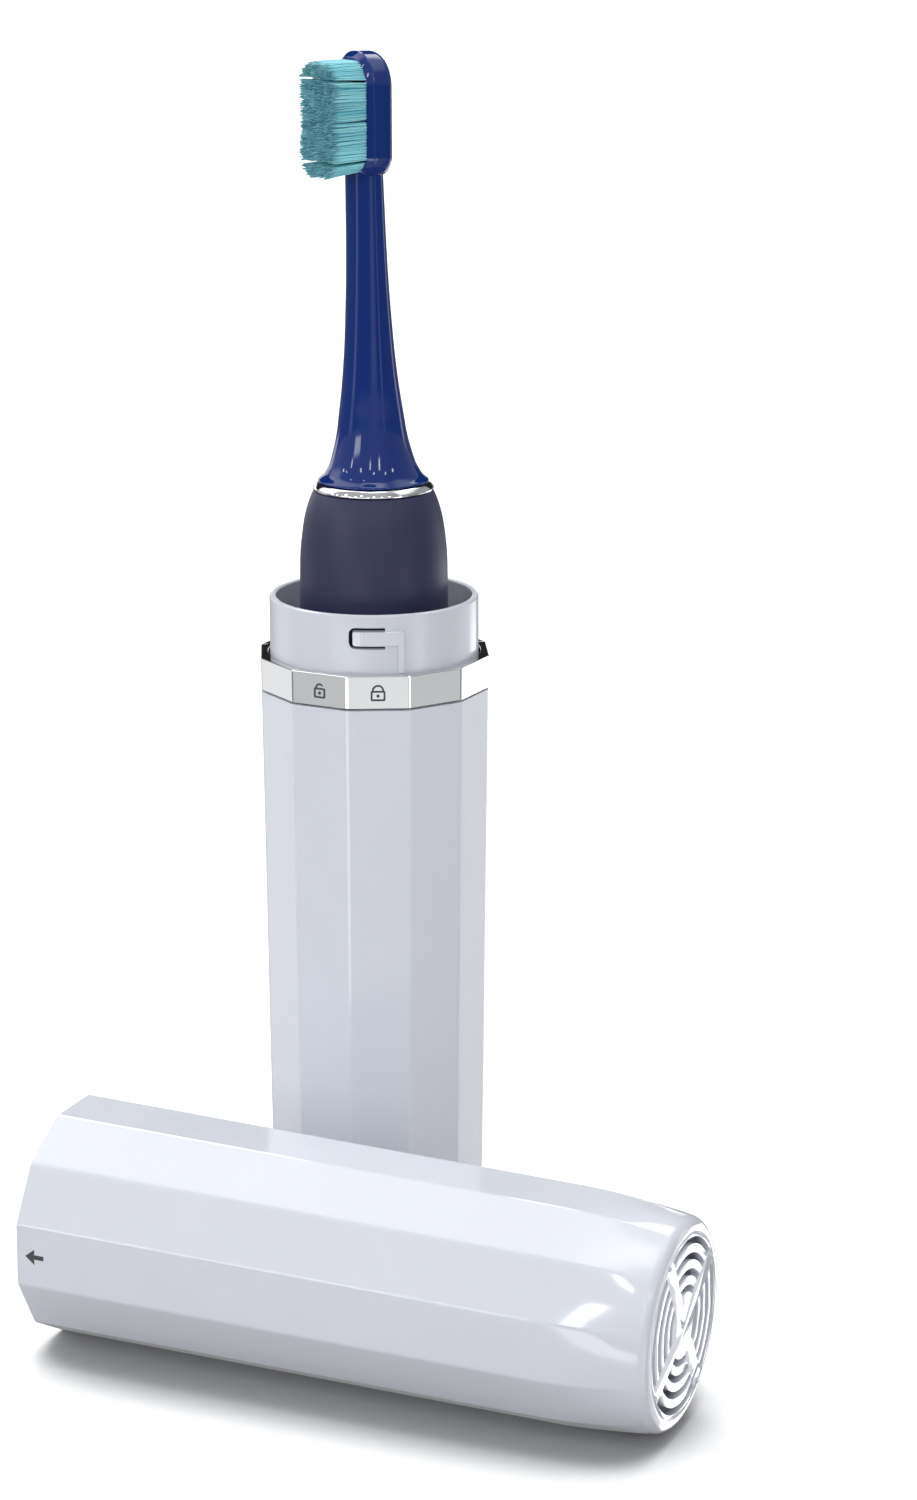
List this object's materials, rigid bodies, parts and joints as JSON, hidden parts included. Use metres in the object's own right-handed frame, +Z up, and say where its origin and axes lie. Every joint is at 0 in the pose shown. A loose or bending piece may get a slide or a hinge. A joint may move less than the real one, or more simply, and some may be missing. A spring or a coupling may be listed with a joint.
{
  "type": "electric toothbrush travel case",
  "caption": "Faceted travel case with a chrome lock band and a vented cap laid beside it, holding an electric toothbrush.",
  "frame": {"origin": "middle of the foot pad, on the surface that the case stands on", "axes": "+Z up along the standing case; +X is the way the lying cap's vent end points; the cap lies on the -Y side"},
  "size_m": [0.1007, 0.0821, 0.1925],
  "materials": {
    "shell": "gloss lavender grey",
    "collar": "satin lavender grey",
    "chrome": "mirror chrome",
    "rubber": "matte",
    "handle": "soft touch navy",
    "lens": "clear diffusing",
    "head": "gloss royal blue",
    "bristle": "translucent aqua",
    "copper": "enamelled copper",
    "ferrite": "matte black",
    "cell": "satin sleeve",
    "steel": "bright",
    "inner": "moulded",
    "board": "solder mask"
  },
  "bodies": {
    "case": {"case_sleeve": "shell", "inner_cup": "collar", "lock_band": "chrome", "foot_pad": "rubber", "seat_pad": "rubber"},
    "cap": {"cap_shell": "shell", "vent_grille": "shell"},
    "brush": {"handle_shell": "handle", "trim_ring": "chrome", "end_cap": "handle", "end_seal": "rubber", "charge_coil": "copper", "coil_core": "ferrite", "battery_cell": "cell", "contact_low": "steel", "contact_high": "steel", "chassis": "inner", "circuit_board": "board", "tact_switch": "ferrite", "indicator_lens": "lens", "motor_can": "steel", "motor_cover": "inner", "shaft_seal": "rubber"},
    "button": {"power_button": "handle"},
    "drive": {"rotor": "ferrite", "drive_shaft": "steel"},
    "head": {"head_body": "head", "shaft_bush": "steel", "toe_tufts": "bristle", "upper_tufts": "bristle", "lower_tufts": "bristle", "heel_tufts": "bristle"}
  },
  "joints": [
    {"name": "cap_lift", "type": "slide", "parent": "case", "child": "cap", "axis": [0, 0, 1], "range_m": [0, 0.15]},
    {"name": "brush_lift", "type": "slide", "parent": "case", "child": "brush", "axis": [0, 0, 1], "range_m": [0, 0.11]},
    {"name": "button_press", "type": "slide", "parent": "brush", "child": "button", "axis": [0.5519, 0.8339, 0], "range_m": [0, 0.0005], "stiffness_N_per_m": 600},
    {"name": "shaft_swing", "type": "hinge", "parent": "brush", "child": "drive", "pos_m": [0, 0, 0.12], "axis": [0, 0, 1], "range_deg": [-4, 4], "stiffness_Nm_per_rad": 0.05},
    {"name": "head_pull", "type": "slide", "parent": "drive", "child": "head", "axis": [0, 0, 1], "range_m": [0, 0.02]}
  ]
}
